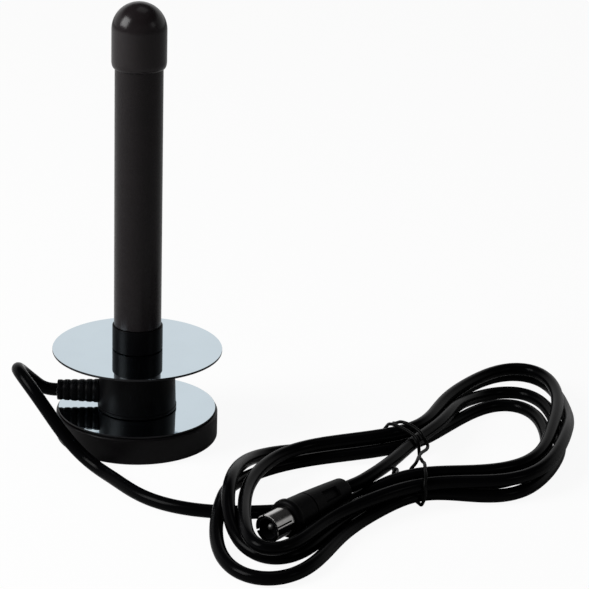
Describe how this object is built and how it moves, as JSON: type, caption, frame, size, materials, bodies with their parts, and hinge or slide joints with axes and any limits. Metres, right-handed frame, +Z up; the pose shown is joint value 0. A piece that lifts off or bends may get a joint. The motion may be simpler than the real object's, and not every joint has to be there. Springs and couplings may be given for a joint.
{
  "type": "indoor rod antenna",
  "caption": "Free-standing rod antenna on a magnetic puck base with a round mirror reflector, a screw-off mast and a coaxial lead tied in a hank, ending in a round coaxial plug.",
  "frame": {"origin": "middle of the base's underside, on the table", "axes": "+Z up the mast, -X along the cable boot, -Y towards the viewer of the picture"},
  "size_m": [0.201, 0.1795, 0.1582],
  "materials": {
    "base_black": "moulded, satin gloss",
    "hub_black": "moulded, satin",
    "mast_black": "smooth, soft gloss",
    "cap_black": "moulded, soft satin",
    "mirror_plate": "polished mirror",
    "pad_rubber": "matt",
    "boot_rubber": "moulded, satin",
    "cable_sheath": "extruded, glossy",
    "plug_black": "moulded, fine matt",
    "tie_black": "coated wire",
    "nickel": "nickel plated",
    "brass": "turned",
    "steel": "zinc plated",
    "ferrite": "ground, dark grey",
    "board": "green solder mask",
    "copper": "enamelled wire",
    "dielectric": "natural polyethylene",
    "foam": "closed-cell foam"
  },
  "bodies": {
    "base": {"base_pad": "pad_rubber", "base_magnet": "ferrite", "magnet_yoke": "steel", "base_housing": "base_black", "base_plate": "mirror_plate", "base_screw_1": "steel", "base_screw_2": "steel", "base_screw_3": "steel", "hub_housing": "hub_black", "circuit_board": "board", "matching_coil": "copper", "cable_core": "dielectric", "cable_boot": "boot_rubber", "reflector_disc": "mirror_plate", "hub_stud": "brass", "feed_insulator": "dielectric", "feed_barrel": "brass", "cable_lead": "cable_sheath", "cable_hank": "cable_sheath", "cable_tail": "cable_sheath", "plug_body": "plug_black", "plug_ferrule": "nickel", "plug_insulator": "plug_black", "plug_pin": "nickel", "wire_tie": "tie_black"},
    "contact": {"feed_plunger": "brass"},
    "mast": {"mast_foot": "hub_black", "mast_tube": "mast_black", "radiator_rod": "brass", "rod_spacer": "foam", "mast_cap": "cap_black"}
  },
  "joints": [
    {"name": "contact_rise", "type": "slide", "parent": "base", "child": "contact", "axis": [0, 0, 1], "range_m": [0, 0.00375]},
    {"name": "mast_unscrew", "type": "hinge", "parent": "contact", "child": "mast", "pos_m": [0, 0, 0.0332], "axis": [0, 0, 1], "range_deg": [0, 1800]}
  ],
  "couplings": [
    {"joint": "mast_unscrew", "follows": "contact_rise", "rad_per_m": 8377.5}
  ]
}
